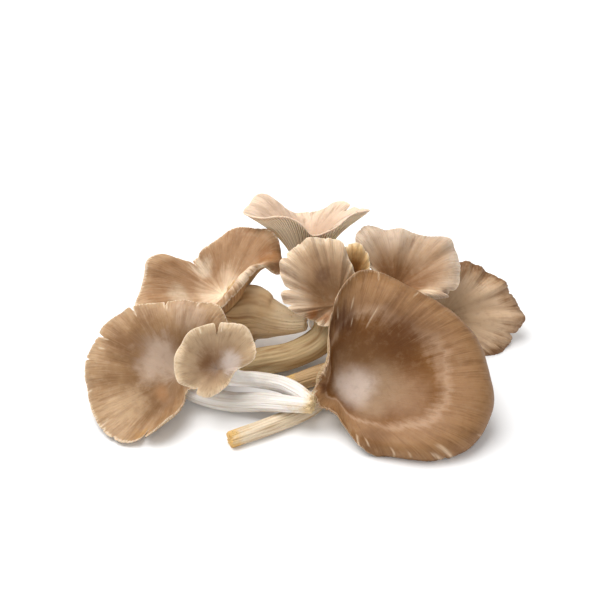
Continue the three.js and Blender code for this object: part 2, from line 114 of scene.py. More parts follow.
LARGE = {
    "at": [17.8, -25.7, 17.5],
    "faces": [-84, 48],
    "rim": [
        [0, 84, 11, 16, 55],
        [20, 79, 12, 15.5, 55],
        [40, 69, 14, 14, 52],
        [62, 61.5, 17, 11, 44],
        [78, 53.5, 20, 6, 30],
        [91, 41, 23, 0, 0],
        [102, 29, 24, -3, -10],
        [114, 15, 19, -3, -10],
        [150, 8.5, 11, 0, 0],
        [187, 10, 8, 1, 30],
        [232, 13, 7, 1, 30],
        [262, 13.5, 8, 0, 10],
        [278, 20.5, 11, 1, 15],
        [290, 33.5, 13, 5, 35],
        [306, 49.5, 13, 11, 52],
        [322, 67.5, 12, 14, 58],
        [338, 83, 11, 16, 58],
        [350, 86, 10, 16, 56],
    ],
    "waves": [[7, 0.8, 20], [12, 0.5, 100]],
    "crest": 1.9,
    "roll_from": 0.66,
    "cup": 2.2,
    "skin": 1.5,
    "flesh": 3.4,
    "flare": 3.6,
    "neck": 6.5,
    "stem": [
        [11, -20.5, 5.4, 4.6, 4.4],
        [3, -28, 3.9, 4.4, 4.1],
        [-14, -39, 3.8, 4.4, 4],
        [-32.5, -48.6, 3.5, 3.8, 3.7],
    ],
}

LEFT = {
    "at": [-58.9, -16.2, 15.2],
    "faces": [-96, 48],
    "rim": [
        [10, 17, 5, 0, 0],
        [28, 27, 7, 2, 10],
        [46, 36, 8, 5, 25],
        [61, 40.5, 8, 6, 30],
        [76, 38, 8, 6, 30],
        [97, 37, 8, 6, 30],
        [120, 39.5, 8, 6, 30],
        [144, 45, 8, 6, 30],
        [157, 43.5, 8, 6, 30],
        [178, 46, 8, 6, 30],
        [202, 44, 9, 5, 20],
        [233, 41, 13, 0, -10],
        [247, 34.5, 16, -3, -20],
        [264, 25.5, 16, -4, -20],
        [282, 16, 10, -2, -10],
        [300, 9.5, 4, 0, 0],
        [340, 11, 4, 0, 0],
    ],
    "waves": [[6, 0.8, 0], [11, 0.6, 50]],
    "skin": 1.4,
    "flesh": 3.6,
    "flare": 4,
    "neck": 5.5,
    "stem": [
        [-50, -18.5, 6.4, 5.4, 5],
        [-35, -23, 4.8, 5.2, 4.8],
        [-19, -27, 8, 4.8, 4.2],
        [-6, -33.4, 12.4, 4.3, 3.6],
        [5.4, -37, 14.2, 3.6, 3.2],
    ],
}

YOUNG = {
    "at": [-39.6, -22.4, 24.8],
    "faces": [-92, 42],
    "rim": [
        [0, 10.5, 7, 0, 10],
        [14, 18.6, 12, 0, 30],
        [37, 22, 13, 0, 35],
        [53, 23.6, 13, 0, 35],
        [77, 21.5, 13, 0, 40],
        [101, 20.5, 13, 0, 40],
        [123, 20, 13, 0, 40],
        [146, 19.2, 12.5, 0, 40],
        [165, 18.8, 12, 0, 40],
        [200, 17.6, 11, 0, 40],
        [218, 14.4, 9, 0, 40],
        [235, 14.6, 10, 0, 60],
        [255, 13.4, 9, 0, 60],
        [274, 11, 8, 0, 50],
        [307, 9, 6, 0, 10],
        [340, 8, 5, 0, 0],
    ],
    "waves": [[5, 0.6, 0], [9, 0.4, 50]],
    "cup": 0.85,
    "skin": 1.2,
    "flesh": 2.4,
    "flare": 3,
    "neck": 3.6,
    "stem": [
        [-31, -19.5, 17, 3.8, 3.8],
        [-22, -16.5, 13, 3.9, 3.8],
        [-9, -19, 12, 4, 3.8],
        [-0.5, -26.5, 13, 4, 3.8],
        [5.6, -35, 14.6, 3.4, 3.2],
    ],
}

CENTRE = {
    "at": [18.2, 15.4, 34],
    "faces": [-90, 46],
    "rim": [
        [0, 9.5, 4, 0, 0],
        [40, 12.5, 6, 0, 0],
        [74, 21.5, 8, 1, 10],
        [88, 31, 9, 3, 30],
        [106, 33.5, 9, 3, 30],
        [127, 35.5, 9, 3, 30],
        [149, 33, 9, 3, 30],
        [163, 26.5, 7, 2, 20],
        [174, 27.2, 9, 2, 30],
        [190, 22.5, 8, 2, 20],
        [206, 16, 3, 1, 20],
        [236, 12.5, 3, 0, 10],
        [270, 9, 3, 0, 0],
        [320, 9, 3, 0, 0],
    ],
    "waves": [[9, 1.3, 0], [17, 0.8, 50]],
    "skin": 1.3,
    "flesh": 3,
    "flare": 4,
    "neck": 6,
    "stem": [
        [16, 19, 24, 6.4, 6.4],
        [11, 12, 15, 7, 7],
        [-3, 6.5, 9.5, 7, 7],
        [-18, 4, 7.6, 7, 6.8],
        [-32, 1.5, 6.4, 6, 6],
    ],
}

FOLDED = {
    "at": [-38.4, 27.8, 31],
    "faces": [-92, 74],
    "rim": [
        [6, 19.5, 27, 0, 120],
        [14, 34, 9, 13, 60],
        [25, 36.5, 12, 9, 60],
        [37, 34.5, 19, 3, 40],
        [49, 33.5, 19.5, 2, 25],
        [60, 32.5, 19, 3, 20],
        [80, 30, 17.5, 3, 20],
        [107, 21.5, 13.5, 2, 20],
        [122, 21, 11, 0, 10],
        [137, 20.5, 9.5, 0, 10],
        [150, 25, 13.5, 0, 10],
        [160, 31.5, 20, 1, 20],
        [168, 36, 20, 1, 20],
        [181, 37.5, 17, 1, 20],
        [203, 44, 14, 1, 30],
        [224, 38.5, 12.5, 0, 30],
        [249, 24, 12.5, 0, 30],
        [272, 17, 18, 0, 80],
        [297, 14, 25, 0, 130],
        [328, 12.5, 28, 0, 140],
        [352, 15, 29, 0, 140],
    ],
    "waves": [[6, 0.8, 0], [11, 0.6, 50]],
    "cup": 1.2,
    "roll_from": 0.78,
    "skin": 1.6,
    "flesh": 4,
    "flare": 5,
    "neck": 7,
    "stem": [
        [-31, 24.5, 21.6, 8, 10.5],
        [-24.5, 23, 22.6, 7.3, 17],
        [-20, 22, 22.2, 6.8, 16.2],
        [-15, 20.5, 21.2, 6.3, 12.4],
        [-4, 18, 20.6, 5, 7],
        [2.5, 17.4, 21.5, 4.4, 4.6],
    ],
}

FUNNEL = {
    "at": [4, 45, 34.2],
    "faces": [90, 58],
    "rim": [
        [2, 24.5, 30, 0, -10],
        [20, 20.5, 33.5, 0, 10],
        [45, 17, 32.5, 0, 10],
        [90, 16, 27.5, 0, 0],
        [135, 18, 31.5, 0, 10],
        [165, 24, 38.5, 0, 20],
        [183, 28.5, 34.5, 0, 20],
        [197, 33, 31, 0, 20],
        [210, 29, 28.5, 0, 20],
        [235, 24, 28, 0, 20],
        [260, 19.5, 25, 0, 20],
        [275, 15.5, 19.5, 0, 20],
        [295, 15, 18.5, 0, 20],
        [314, 19.5, 22, 0, 0],
        [324, 25.5, 28, 0, 0],
        [346, 31, 31, 0, 10],
    ],
    "waves": [[5, 0.5, 0], [9, 0.5, 50]],
    "cup": 0.55,
    "skin": 1.3,
    "flesh": 3,
    "flare": 3,
    "neck": 6.2,
    "stem": [
        [5, 42, 22, 6.2, 6.2],
        [8.5, 41, 10, 6, 6],
        [10, 41, 0.8, 5.2, 5.2],
    ],
}

BACK_RIGHT = {
    "at": [47.4, 28.9, 34],
    "faces": [-80, 58],
    "rim": [
        [8, 33.5, 9, 5, 35],
        [29, 36, 9, 5, 30],
        [45, 35.5, 9, 5, 30],
        [59, 32, 9, 5, 30],
        [78, 30, 9, 5, 30],
        [96, 30, 9, 5, 30],
        [121, 33, 9, 4, 30],
        [136, 28.5, 9, 3, 20],
        [153, 12, 7, 1, 10],
        [190, 9, 5, 0, 0],
        [240, 9, 4, 0, 0],
        [300, 12, 5, 2, 30],
        [324, 21, 10, 9, 115],
        [339, 31, 12, 10, 140],
        [347, 26, 9, 5, 70],
        [355, 29.5, 9, 4, 35],
    ],
    "waves": [[7, 0.9, 0], [13, 0.6, 50]],
    "skin": 1.4,
    "flesh": 3.2,
    "flare": 4,
    "neck": 5.5,
    "stem": [
        [43, 32, 24, 5.4, 5.4],
        [37, 34, 12, 5.8, 5.8],
        [35, 34, 0.8, 5.4, 5.4],
    ],
}

FAR_RIGHT = {
    "at": [71.3, 29.9, 14],
    "faces": [-72, 42],
    "rim": [
        [8, 43.5, 6, 5, 25],
        [28, 38.5, 6, 5, 25],
        [50, 34, 6, 4, 25],
        [80, 30, 6, 4, 25],
        [110, 24, 6, 3, 20],
        [150, 18, 6, 2, 20],
        [190, 12, 5, 0, 10],
        [230, 10, 5, 0, 10],
        [270, 14, 6, 1, 10],
        [300, 24, 6, 3, 20],
        [327, 34, 6, 4, 25],
        [340, 40, 6, 5, 25],
        [354, 43, 6, 5, 25],
    ],
    "waves": [[9, 1.2, 0], [16, 0.7, 50]],
    "skin": 1.4,
    "flesh": 3.2,
    "flare": 3.5,
    "neck": 5,
    "stem": [
        [62, 26, 7, 4.8, 4.8],
        [45, 12, 4.8, 4.8, 4.8],
        [25, 3, 4.6, 4.8, 4.6],
        [8, -4, 4.6, 4.6, 4.6],
        [-6, -10, 4.2, 4, 4],
    ],
}

SMALL = {
    "at": [26.2, 29, 39.2],
    "faces": [-80, 38],
    "rim": [
        [20, 7, 5, 0, 0],
        [50, 11.5, 6, 1, 10],
        [83, 17.5, 6, 2, 20],
        [105, 17, 6, 2, 20],
        [130, 12, 6, 1, 10],
        [160, 7.5, 4, 0, 0],
        [200, 5, 3, 0, 0],
        [280, 5, 3, 0, 0],
        [340, 5.5, 3, 0, 0],
    ],
    "waves": [[5, 0.5, 0], [9, 0.4, 50]],
    "skin": 1.1,
    "flesh": 2,
    "flare": 2.5,
    "neck": 3.4,
    "stem": [
        [26, 31.5, 29, 3.4, 3.4],
        [24, 32, 15, 3.8, 3.8],
        [23, 31, 0.8, 3.4, 3.4],
    ],
}


def smooth(value):
    """Rises from 0 to 1 as value does, with level ends: 3 v^2 - 2 v^3."""
    v = np.clip(value, 0, 1)
    return v * v * (3 - 2 * v)


def unit(vector):
    """The vectors at length one."""
    return vector / np.maximum(np.linalg.norm(vector, axis=-1, keepdims=True), 1e-12)


def cubic(start, start_slope, end, end_slope, t):
    """Cubic piece from start to end, with the change per piece at both ends, for t from 0 to 1."""
    s = 1 - t
    return (start * (1 + 2 * t) * s * s + start_slope * t * s * s
            + end * t * t * (3 - 2 * t) + end_slope * t * t * (t - 1))


def cubic_slope(start, start_slope, end, end_slope, t):
    """Change of that cubic piece per unit of t."""
    s = 1 - t
    return 6 * t * s * (end - start) + start_slope * s * (1 - 3 * t) + end_slope * t * (3 * t - 2)


def cap_axes(faces):
    """Axes of a cap: z looks the way it faces, x is the heap's x laid square to it, and y completes them."""
    turn, lift = np.radians(faces)
    z = np.array([np.cos(turn) * np.cos(lift), np.sin(turn) * np.cos(lift), np.sin(lift)])
    x = unit(np.array([1.0, 0, 0]) - z[0] * z)
    return x, np.cross(z, x), z


def rim_value(rim, column, angle):
    """One column of the rim's rows at any angles: a closed curve of cubic pieces, each row's slope being
    that of the chord between its neighbours."""
    rows = np.array(rim, float)
    count = len(rows)
    index = np.arange(-2, count + 3)
    angles = rows[index % count, 0] + 360 * (index // count)
    values = rows[index % count, column]
    slopes = (values[2:] - values[:-2]) / (angles[2:] - angles[:-2])
    angles, values = angles[1:-1], values[1:-1]
    turned = rows[0, 0] + np.mod(angle - rows[0, 0], 360)
    piece = np.searchsorted(angles, turned, side="right") - 1
    width = angles[piece + 1] - angles[piece]
    return cubic(values[piece], slopes[piece] * width, values[piece + 1], slopes[piece + 1] * width,
                 (turned - angles[piece]) / width)


def column_angles(shape, count):
    """Angles of the columns, evened out by the rim's length and, less, by the angle round the middle."""
    samples = np.linspace(0, 360, ANGLE_SAMPLES + 1)
    reach = rim_value(shape["rim"], 1, samples)
    turn = np.radians(samples)
    steps = np.hypot(np.diff(reach * np.cos(turn)), np.diff(reach * np.sin(turn)))
    length = np.concatenate([[0], np.cumsum(steps)])
    share = ARC_SHARE * length / length[-1] + (1 - ARC_SHARE) * samples / 360
    return np.interp(np.arange(count) / count, share, samples)


def ripple(turn, share, counts, drift, seed):
    """Irregular furrows: the mean of cosines with the given counts round the cap and random phases, which
    wander with the share of the reach, at about unit size."""
    rng = np.random.default_rng(seed)
    field = 0
    for count in counts:
        phase, wander = rng.uniform(0, 2 * np.pi), rng.normal(0, drift)
        field = field + np.cos(2 * np.pi * count * turn + phase + wander * share)
    return field / np.sqrt(len(counts) / 2)


def cap_profile(shape, angle, turn):
    """Distance out and up along each column, from the middle to the rim. The height is rise s^cup +
    belly sin(pi s^crest) + ruffle s^3, and the roll turns each short step down near the rim."""
    reach, rise, belly, roll = (rim_value(shape["rim"], k, angle)[:, None] for k in (1, 2, 3, 4))
    s = np.linspace(0, 1, PROFILE_STEPS + 1)[None, :]
    ruffle = sum(h * np.cos(2 * np.pi * n * turn + np.radians(p)) for n, h, p in shape["waves"])[:, None]
    cup, crest = shape.get("cup", CUP_POWER), shape.get("crest", CREST_POWER)
    height = rise * s**cup + belly * np.sin(np.pi * s**crest) + ruffle * s**3
    roll_from = shape.get("roll_from", ROLL_FROM)
    past = ((s[:, 1:] + s[:, :-1]) / 2 - roll_from) / (1 - roll_from)
    down = np.radians(roll) * smooth(past)
    step_out = reach / PROFILE_STEPS
    step_up = np.diff(height, axis=1)
    out = np.cumsum(step_out * np.cos(down) + step_up * np.sin(down), axis=1)
    up = np.cumsum(step_up * np.cos(down) - step_out * np.sin(down), axis=1)
    start = np.zeros((len(angle), 1))
    return np.stack([np.hstack([start, out]), np.hstack([start, up])], axis=-1)


def along(profile, share):
    """Points of each column's profile at shares of its length: rows by columns by (out, up)."""
    place = np.clip(share, 0, 1) * PROFILE_STEPS
    step = np.minimum(place.astype(int), PROFILE_STEPS - 1)
    column = np.arange(len(profile))[None, :]
    part = (place - step)[..., None]
    return profile[column, step] * (1 - part) + profile[column, step + 1] * part


def profile_slope(profile, share):
    """Unit direction of each column's profile at shares of its length."""
    margin = SLOPE_MARGIN / PROFILE_STEPS
    return unit(along(profile, share + margin) - along(profile, share - margin))


def rim_cut(shape, angle, reach):
    """Share of the reach that splits and nicks take off each column. A split is a narrow bell in angle, and
    a nick a narrow one in length along the rim, at a random place."""
    rng = np.random.default_rng(shape["seed"])
    cut = np.zeros_like(angle)
    for at, depth, half_width in shape["splits"]:
        apart = np.mod(angle - at + 180, 360) - 180
        cut += depth * np.exp(-((apart / half_width) ** 2))
    for at in rng.uniform(0, 360, shape["nicks"]):
        apart = (np.mod(angle - at + 180, 360) - 180) * np.radians(1) * reach
        depth = rng.uniform(*NICK_DEPTHS) * shape["nick_depth"]
        cut += depth * np.exp(-((apart / rng.uniform(*NICK_WIDTHS)) ** 2))
    return np.clip(cut / np.maximum(reach, 1), 0, DEEPEST_CUT)


def scar_shade(shape, angle, share):
    """How pale the upper face is where its skin has cracked: for each scar a bell in angle, which wanders a
    little on its way out, times a window in the share of the reach."""
    shade = 0 * share * angle
    for at, start, end, half_width in shape["scars"]:
        apart = np.mod(angle - at + np.sin(at + SCAR_WANDER * share) + 180, 360) - 180
        window = smooth((share - start) / SCAR_FADE) * smooth((end - share) / SCAR_FADE)
        shade = shade + np.exp(-((apart / half_width) ** 2)) * window
    return np.minimum(shade, 1)


def gill_wave(turn, share, columns):
    """Height of the gills from -1 to 1: a cosine with one wave to four columns, whose every second crest
    runs out towards the neck."""
    gills = columns // COLUMNS_A_GILL
    wave = np.cos(2 * np.pi * gills * turn)
    second = np.floor(gills * turn + 0.5) % 2
    short = 1 - second * (1 - smooth((share - SHORT_GILL_FROM) / SHORT_GILL_FADE))
    return wave * short


def cap_point(shape, angle, distance):
    """Point of the upper face at an angle and a distance out along it, in metres."""
    x, y, z = cap_axes(shape["faces"])
    angles = np.array([float(angle)])
    profile = cap_profile(shape, angles, angles / 360)[0]
    steps = np.concatenate([[0], np.cumsum(np.hypot(*np.diff(profile, axis=0).T))])
    out, up = (np.interp(distance, steps, profile[:, k]) for k in (0, 1))
    turn = np.radians(angle)
    point = shape["at"] + out * (np.cos(turn) * x + np.sin(turn) * y) + up * z
    point[:2] -= HEAP_MIDDLE
    return tuple(float(value) * MILLIMETRE for value in point)


def stem_line(shape, start, heading):
    """Centre, direction, half width, half height and length so far along a stem, by cubic pieces through
    its points, each point's slope being that of the chord between its neighbours."""
    points = np.array([[*start, shape["neck"], shape["neck"]]] + shape["stem"], float)
    length = np.concatenate([[0], np.cumsum(np.linalg.norm(np.diff(points[:, :3], axis=0), axis=1))])
    slopes = np.zeros_like(points)
    slopes[0, :3] = heading
    slopes[1:-1] = (points[2:] - points[:-2]) / (length[2:] - length[:-2])[:, None]
    slopes[-1] = (points[-1] - points[-2]) / (length[-1] - length[-2])
    distance = np.linspace(0, length[-1], STEM_STEPS + 1)
    piece = np.clip(np.searchsorted(length, distance, side="right") - 1, 0, len(length) - 2)
    span = (length[piece + 1] - length[piece])[:, None]
    ends = (points[piece], slopes[piece] * span, points[piece + 1], slopes[piece + 1] * span)
    t = (distance[:, None] - length[piece][:, None]) / span
    value = cubic(*ends, t)
    return value[:, :3], unit(cubic_slope(*ends, t)[:, :3]), value[:, 3], value[:, 4], distance


def stem_ring(line, sides, step, angle):
    """Ring of a stem at one step: an ellipse as wide and high as the stem there, with slow lumps and fine
    fibres along it. The angles are in degrees, from the direction carried down from the cap."""
    centre, tangent, width, height, distance = (values[step] for values in line)
    turn = np.radians(angle)[:, None]
    way = sides[step] * np.cos(turn) + np.cross(sides[step], tangent) * np.sin(turn)
    level = unit(np.cross(tangent, [0.0, 0.0, 1.0]))
    upright = np.cross(level, tangent)
    radius = 1 / np.hypot(way @ level / width, way @ upright / height)
    lumps = (1 + LUMP_TWO * np.cos(2 * turn[:, 0] + distance / LUMP_TWO_LENGTH)
             + LUMP_THREE * np.cos(3 * turn[:, 0] - distance / LUMP_THREE_LENGTH + LUMP_THREE_TURN))
    fibre = FIBRE_HEIGHT * ripple(turn[:, 0] / (2 * np.pi), distance, FIBRE_COUNTS, FIBRE_DRIFT, FIBRE_SEED)
    return centre + way * (radius * lumps + fibre)[:, None]


def carried_sides(first, tangents):
    """The cap's x direction carried down the stem without twisting."""
    sides = [first]
    for tangent in tangents:
        sides.append(unit(sides[-1] - (sides[-1] @ tangent) * tangent))
    return np.array(sides[1:])


def mushroom_rows(shape):
    """Rows of points of one mushroom from the middle of its cap, over the rim, along the gills and down
    the stem to the cut end, with the values that the material reads: each row's place (0 to 1 on top, 1 to
    2 below, 2 to 3 on the stem, 3 to 4 on the cut end), its tone, which is the place raised by a bell in
    angle times a parabola in share, so that the rings of colour lean, the relief of its furrows or gills,
    and its scars."""
    columns = shape["columns"]
    x, y, z = cap_axes(shape["faces"])
    at = np.array(shape["at"], float)
    turn = np.arange(columns) / columns
    angle = column_angles(shape, columns)
    profile = cap_profile(shape, angle, turn)
    reach = rim_value(shape["rim"], 1, angle)
    cut = rim_cut(shape, angle, reach)
    way = np.cos(np.radians(angle))[:, None] * x + np.sin(np.radians(angle))[:, None] * y

    def placed(points):
        """Points of the profile, moved to where the cap is."""
        return at + way[None] * points[..., :1] + z * points[..., 1:]

    def swell(share):
        """Broad unevenness of the whole cap, which both faces share."""
        field = ripple(turn, share, SWELL_COUNTS, SWELL_DRIFT, shape["seed"] + 1)
        return shape["swell"] * field * share**SWELL_POWER

    rows, places, tones, reliefs, scars = [], [], [], [], []

    def add(points, place, relief, tone=1.0, scar=0.0):
        """One more row, with its values."""
        rows.append(points)
        places.append(np.full(len(points), place))
        reliefs.append(relief)
        tones.append(np.broadcast_to(tone, len(points)))
        scars.append(np.broadcast_to(scar, len(points)))

    # Upper face
    share = np.linspace(1 / TOP_ROWS, 1, TOP_ROWS)[:, None]
    kept = share * (1 - cut * share**CUT_POWER)
    slope = profile_slope(profile, kept)
    normal = np.stack([-slope[..., 1], slope[..., 0]], axis=-1)
    counts = shape["folds"] + FOLD_COUNTS
    fine_counts = FURROWS_A_FOLD * shape["folds"] + FURROW_COUNTS
    coarse = ripple(turn, share, counts, FOLD_DRIFT, shape["seed"] + 2)
    fine = ripple(turn, share, fine_counts, FURROW_DRIFT, shape["seed"] + 3)
    furrow = (coarse * smooth((share - FOLD_FROM) / FOLD_FADE)
              + FURROW_HEIGHT * fine * smooth((share - FURROW_FROM) / FURROW_FADE))
    scar = scar_shade(shape, angle, share)
    lean_at, lean = shape["lean"]
    apart = np.mod(angle - lean_at + 180, 360) - 180
    tone = share + 4 * lean * share * (1 - share) * np.exp(-((apart / LEAN_TURN) ** 2))
    lift = swell(share) + shape["furrow"] * furrow - SCAR_DEPTH * scar
    top = placed(along(profile, kept) + normal * lift[..., None])
    for k in range(TOP_ROWS):
        add(top[k], share[k, 0], furrow[k], tone[k], scar[k])

    # Underside, kept apart so that the rim can be rounded between the two
    share = np.linspace(1, 0, UNDER_ROWS)[:, None]
    held = reach * (1 - cut)
    out = shape["neck"] + (held - shape["neck"]) * share
    above = np.minimum(out / reach, 1 - cut * share)
    slope = profile_slope(profile, above)
    fade = np.minimum(1, (1 - share) * GILL_FADE_IN) * np.minimum(1, share * GILL_FADE_OUT)
    wave = gill_wave(turn, share, columns)
    taper = RIM_TAPER * (1 - smooth((1 - share) / TAPER_SHARE))
    thickness = (shape["skin"] + shape["flesh"] * (1 - share) ** THICKEN_POWER
                 + GILL_DEPTH / 2 * wave * fade - taper - swell(share))
    sink = np.clip((NECK_SHARE - share) / NECK_SHARE, 0, 1)
    points = along(profile, above)
    points[..., 0] += np.maximum(out - reach, 0) + thickness * slope[..., 1]
    points[..., 1] -= thickness * slope[..., 0] + shape["flare"] * (1 - np.sqrt(1 - sink * sink))
    under = placed(points)

    # Rounded rim: half an ellipse from the top face's last row to the underside's first
    middle, half = (top[-1] + under[0]) / 2, (top[-1] - under[0]) / 2
    end = profile_slope(profile, kept)[-1]
    outward = unit(way * end[:, :1] + z * end[:, 1:])
    bulge = np.linalg.norm(half, axis=-1, keepdims=True) * outward
    for degrees in RIM_ROUNDING:
        tilt = np.radians(degrees)
        add(middle + half * np.cos(tilt) + bulge * np.sin(tilt), 1.0, furrow[-1], 1.0, scar[-1])
    for k in range(UNDER_ROWS):
        add(under[k], 2 - share[k, 0], wave[k] * fade[k])

    # Stem, with half the columns and then a quarter
    heading = -z
    depth = shape["skin"] + shape["flesh"] + shape["flare"]
    line = stem_line(shape, at + heading * depth, heading)
    sides = carried_sides(x, line[1])
    for step in np.linspace(0, STEM_STEPS, STEM_RINGS + 1).astype(int)[1:]:
        every = 2 if step < HALF_COLUMNS_UNTIL else 4
        down = step / STEM_STEPS
        ring_angle = (angle * (1 - down) + 360 * turn * down)[::every]
        gap = under[-1][::every] - stem_ring(line, sides, 0, angle[::every])
        blend = 1 - smooth(line[4][step] / NECK_BLEND)
        ring = stem_ring(line, sides, step, ring_angle) + gap * blend
        add(ring, 2 + down, np.zeros(len(ring)))

    # Cut end, slightly domed and torn
    last, tangent = rows[-1], line[1][-1]
    centre = last.mean(axis=0)
    rough = ripple(np.arange(len(last)) / len(last), 0, END_COUNTS, 1, shape["seed"] + 4)[:, None]
    for inset in END_INSETS:
        dome = TIP_BULGE * np.sqrt(1 - inset**2) + END_ROUGHNESS * rough * inset
        add(centre + (last - centre) * inset + tangent * dome, 4 - inset, rough[:, 0])
    return at, rows, centre + tangent * TIP_BULGE, places, tones, reliefs, scars


def zipped(rows):
    """Faces between the rows, as vertex numbers, where a row has as many points as the one before or half.
    The vertex before the first row closes the middle of the cap, and the one after the last the cut end."""
    faces = []
    first = 1
    index = np.arange(len(rows[0]))
    faces.append(np.stack([0 * index, first + index, first + (index + 1) % len(index)], axis=1))
    for upper, lower in zip(rows, rows[1:]):
        n, m = len(upper), len(lower)
        i = np.arange(m)
        c, d = first + n + i, first + n + (i + 1) % m
        if n == m:
            a, b = first + i, first + (i + 1) % n
            faces.append(np.stack([a, c, d, b], axis=1))
        else:
            a, middle, b = (first + (2 * i + k) % n for k in range(3))
            faces.append(np.stack([a, c, middle], axis=1))
            faces.append(np.stack([middle, c, d], axis=1))
            faces.append(np.stack([middle, d, b], axis=1))
        first += n
    index = np.arange(len(rows[-1]))
    end = first + len(index)
    faces.append(np.stack([0 * index + end, first + (index + 1) % len(index), first + index], axis=1))
    return faces


def mushroom_arrays(shape):
    """Points in metres, faces and the values that the material reads, for one mushroom."""
    at, rows, tip, places, tones, reliefs, scars = mushroom_rows(shape)
    points = np.vstack([at[None], *rows, tip[None]])
    points[:, 2] = np.maximum(points[:, 2], 0)
    points[:, :2] -= HEAP_MIDDLE
    place = np.concatenate([[0.0], *places, [4.0]])
    relief = np.concatenate([[0.0], *reliefs, [0.0]])
    tone = np.concatenate([[0.0], *tones, [1.0]])
    scar = np.concatenate([[0.0], *scars, [0.0]])
    turns = np.concatenate([[0.0], *[np.arange(len(row)) / len(row) for row in rows], [0.0]]) * 2 * np.pi
    fibre = np.stack([np.cos(turns), np.sin(turns), place], axis=1)
    values = {"place": place, "tone": tone, "relief": relief, "scar": scar, "fibre": fibre}
    return points * MILLIMETRE, zipped(rows), values


def mushroom_piece(name, mushrooms):
    """One mesh of one or more mushrooms, each with its own material and its values as vertex attributes."""
    arrays = [mushroom_arrays(shape) for shape, _ in mushrooms]
    faces, finish, first = [], [], 0
    for index, (points, groups, _) in enumerate(arrays):
        for group in groups:
            faces += (group + first).tolist()
            finish += [index] * len(group)
        first += len(points)
    mesh = bpy.data.meshes.new(name)
    mesh.from_pydata(np.vstack([points for points, _, _ in arrays]).tolist(), [], faces)
    for key in arrays[0][2]:
        values = np.concatenate([held[key] for _, _, held in arrays])
        kind, field = ("FLOAT_VECTOR", "vector") if values.ndim == 2 else ("FLOAT", "value")
        mesh.attributes.new(key, kind, "POINT").data.foreach_set(field, values.astype(np.float32).ravel())
    mesh.polygons.foreach_set("use_smooth", np.ones(len(mesh.polygons), dtype=bool))
    for index, (shape, look) in enumerate(mushrooms):
        mesh.materials.append(mushroom_material(f"{name}_{index + 1}", shape, look))
    mesh.polygons.foreach_set("material_index", finish)
    mesh.update()
    piece = bpy.data.objects.new(name, mesh)
    bpy.context.scene.collection.objects.link(piece)
    return piece


# Materials: noises as scale, detail and roughness
BLOTCH_NOISE = (70.0, 5.0, 0.6)
MOTTLE_NOISE = (260.0, 4.0, 0.6)
STREAK_NOISE = (1.0, 4.0, 0.6)
GRAIN_NOISE = (1.0, 3.0, 0.5)
SPECK_NOISE = (800.0, 3.0, 0.55)
FINE_STREAK_LENGTH = 5.0
BROAD_STREAK_LENGTH = 2.2
FINE_A_BROAD = 5  # fine streaks to a broad one
GRAIN_STRETCH = (3.0, 2.0)

# Ranges of a noise, the relief or the place that a colour comes in over, some with its least and most share
WIDE = (0.3, 0.7)
OUTER = (0.3, 0.85)
DARK_BANDS = (0.5, 0.68, 0, 0.35)
PALE_STREAKS = (0.52, 0.7)
DARK_STREAKS = (0.46, 0.34, 0, 0.3)
# range of the relief over which the furrows take their painted shade
GROOVE_SHADE = (-0.2, -1.6)
PALE_MOTTLE = (0.5, 0.72, 0, 0.16)
DARK_MOTTLE = (0.5, 0.3, 0, 0.16)
SCAR_STREAKS = (0.3, 0.6, 0.2, 0.75)
RIM_RAGGED = (0.35, 0.65, -0.018, 0.012)
RIM = (0.972, 1.0)
GILL_SIDES = (-0.8, 0.7)
GILL_PATCHES = (0.4, 0.7, 0, 0.35)
GRAIN = (0.38, 0.75)
STEM_PATCHES = (0.5, 0.75, 0, 0.6)
FOOT_RAGGED = (0.3, 0.7, -0.12, 0.12)
SPECKS = (0.6, 0.68)
RIM_TO_GILLS = (1.0, 1.03)
GILLS_TO_STEM = (1.9, 2.12)

STREAK_DRIFT = 0.7  # how far streaks shift the rings of colour, against blotches
SPOT_RAYS = 0.3
SPOT_OUTSIDE, SPOT_INSIDE = 1.15, 0.15
GILL_PATCH_SHADE = 0.72
FOOT_WHOLE = 3.02  # the place from which the stain is whole
ROUGHNESS = (0.42, 0.58)
FLESH = {
    "Specular IOR Level": 0.18,
    "Subsurface Weight": 0.16,
    "Subsurface Radius": (1.0, 0.5, 0.22),
    "Subsurface Scale": 0.0018,
}
STREAK_HEIGHT = 0.8
MOTTLE_HEIGHT = 0.6
BUMP = {"Strength": 0.35, "Distance": 0.0006}


